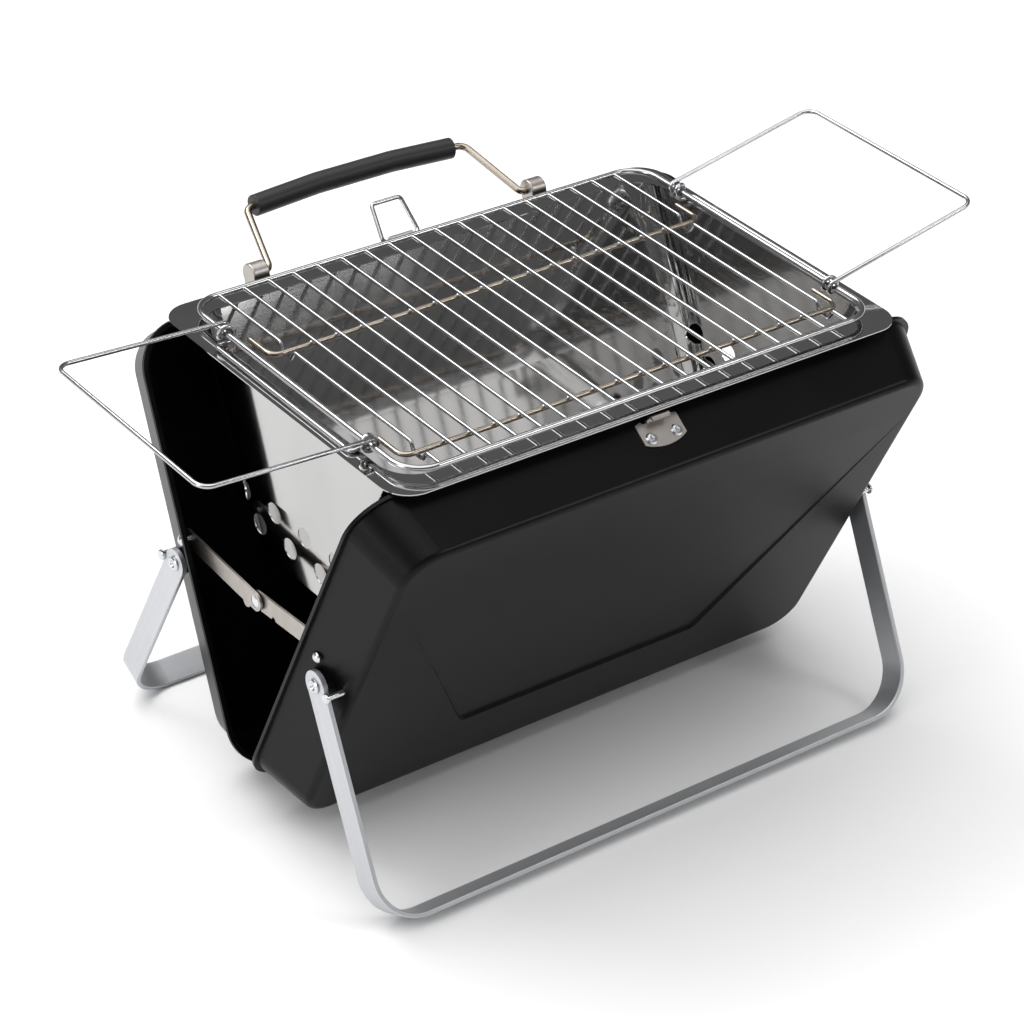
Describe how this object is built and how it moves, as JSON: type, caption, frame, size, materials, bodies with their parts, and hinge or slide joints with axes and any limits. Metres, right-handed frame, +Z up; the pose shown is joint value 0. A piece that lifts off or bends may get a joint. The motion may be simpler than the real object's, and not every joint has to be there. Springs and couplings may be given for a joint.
{
  "type": "folding camp grill",
  "caption": "Folding camp charcoal grill: two hinged pressed steel case halves opened into a V on wire-braced U legs, with drop-in firebox, wire grate and carry handle",
  "frame": {"origin": "on the ground under the middle of the whole grill, carry handle and wire handles included", "axes": "+X along the hinge from the left handle to the right, -Y the front half with the catch plate, +Y the back half with the carry handle, +Z up"},
  "size_m": [0.6, 0.3714, 0.3373],
  "materials": {
    "shell_paint": "black satin paint on pressed steel",
    "hinge_steel": "plain steel",
    "leg_alloy": "satin aluminium strap",
    "zinc": "bright zinc plated",
    "brace_steel": "stainless strip",
    "bright_steel": "bright stainless sheet",
    "wire_chrome": "chromed wire",
    "rail_steel": "warm toned stainless rod",
    "grip_black": "black moulded grip"
  },
  "bodies": {
    "hinge": {"hinge_rod": "hinge_steel"},
    "front_half": {"front_shell": "shell_paint", "front_hinge_leaf": "shell_paint", "front_leg_rivets": "zinc", "front_leg_spacers": "zinc", "front_stop_studs": "zinc", "front_brace_anchors": "zinc", "catch_plate": "brace_steel", "catch_rivets": "zinc"},
    "back_half": {"back_shell": "shell_paint", "back_hinge_leaf": "shell_paint", "back_leg_rivets": "zinc", "back_leg_spacers": "zinc", "back_stop_studs": "zinc", "back_brace_anchors": "zinc", "bail_bracket": "brace_steel", "bail_rivets": "zinc", "carry_handle_ears": "brace_steel", "bracket_rivets": "zinc"},
    "front_stand": {"front_leg": "leg_alloy"},
    "back_stand": {"back_leg": "leg_alloy"},
    "bail": {"latch_bail": "wire_chrome"},
    "carry_handle": {"carry_handle_wire": "rail_steel", "carry_handle_grip": "grip_black"},
    "firebox_pan": {"firebox": "bright_steel"},
    "grate": {"grate_frame": "wire_chrome", "grate_bars": "wire_chrome", "grate_end_bars": "wire_chrome", "grate_rails": "rail_steel"},
    "handle_left": {"grate_handle_left": "wire_chrome"},
    "handle_right": {"grate_handle_right": "wire_chrome"},
    "front_brace_left": {"front_link_left": "brace_steel", "front_link_rivet_left": "zinc"},
    "front_brace_right": {"front_link_right": "brace_steel", "front_link_rivet_right": "zinc"},
    "back_brace_left": {"back_link_left": "brace_steel", "back_link_rivet_left": "zinc"},
    "back_brace_right": {"back_link_right": "brace_steel", "back_link_rivet_right": "zinc"}
  },
  "joints": [
    {"name": "front_fold", "type": "hinge", "parent": "hinge", "child": "front_half", "pos_m": [0, -0.0236, 0.022], "axis": [-1, 0, 0], "range_deg": [0, 23.5]},
    {"name": "back_fold", "type": "hinge", "parent": "hinge", "child": "back_half", "pos_m": [0, -0.0236, 0.022], "axis": [1, 0, 0], "range_deg": [0, 23.5]},
    {"name": "firebox_lift", "type": "slide", "parent": "hinge", "child": "firebox_pan", "axis": [0, 0, 1], "range_m": [0, 0.2602]},
    {"name": "grate_lift", "type": "slide", "parent": "firebox_pan", "child": "grate", "axis": [0, 0, 1], "range_m": [0, 0.12]},
    {"name": "handle_left_fold", "type": "hinge", "parent": "grate", "child": "handle_left", "pos_m": [-0.181, -0.0236, 0.3065], "axis": [0, 1, 0], "range_deg": [0, 166]},
    {"name": "handle_right_fold", "type": "hinge", "parent": "grate", "child": "handle_right", "pos_m": [0.181, -0.0236, 0.3065], "axis": [0, -1, 0], "range_deg": [0, 157]},
    {"name": "front_leg_fold", "type": "hinge", "parent": "front_half", "child": "front_stand", "pos_m": [0, -0.10423, 0.14724], "axis": [1, 0, 0], "range_deg": [0, 50.5]},
    {"name": "back_leg_fold", "type": "hinge", "parent": "back_half", "child": "back_stand", "pos_m": [0, 0.05703, 0.14724], "axis": [-1, 0, 0], "range_deg": [0, 50.5]},
    {"name": "carry_swing", "type": "hinge", "parent": "back_half", "child": "carry_handle", "pos_m": [0, 0.12542, 0.29601], "axis": [1, 0, 0], "range_deg": [-86, 125]},
    {"name": "bail_swing", "type": "hinge", "parent": "back_half", "child": "bail", "pos_m": [-0.006, 0.11341, 0.29697], "axis": [1, 0, 0], "range_deg": [-86, 64]},
    {"name": "front_brace_fold_left", "type": "hinge", "parent": "front_half", "child": "front_brace_left", "pos_m": [0, -0.10067, 0.16514], "axis": [1, 0, 0], "range_deg": [0, 107.08]},
    {"name": "back_brace_fold_left", "type": "hinge", "parent": "back_half", "child": "back_brace_left", "pos_m": [0, 0.05347, 0.16514], "axis": [-1, 0, 0], "range_deg": [0, 107.08]},
    {"name": "front_brace_fold_right", "type": "hinge", "parent": "front_half", "child": "front_brace_right", "pos_m": [0, -0.10067, 0.16514], "axis": [1, 0, 0], "range_deg": [0, 107.08]},
    {"name": "back_brace_fold_right", "type": "hinge", "parent": "back_half", "child": "back_brace_right", "pos_m": [0, 0.05347, 0.16514], "axis": [-1, 0, 0], "range_deg": [0, 107.08]}
  ],
  "couplings": [
    {"joint": "back_fold", "follows": "front_fold", "ratio": 1},
    {"joint": "firebox_lift", "follows": "front_fold", "m_per_rad": 0.634},
    {"joint": "front_brace_fold_left", "follows": "front_fold", "ratio": 4.5561},
    {"joint": "back_brace_fold_left", "follows": "front_fold", "ratio": 4.5561},
    {"joint": "front_brace_fold_right", "follows": "front_fold", "ratio": 4.5561},
    {"joint": "back_brace_fold_right", "follows": "front_fold", "ratio": 4.5561}
  ]
}
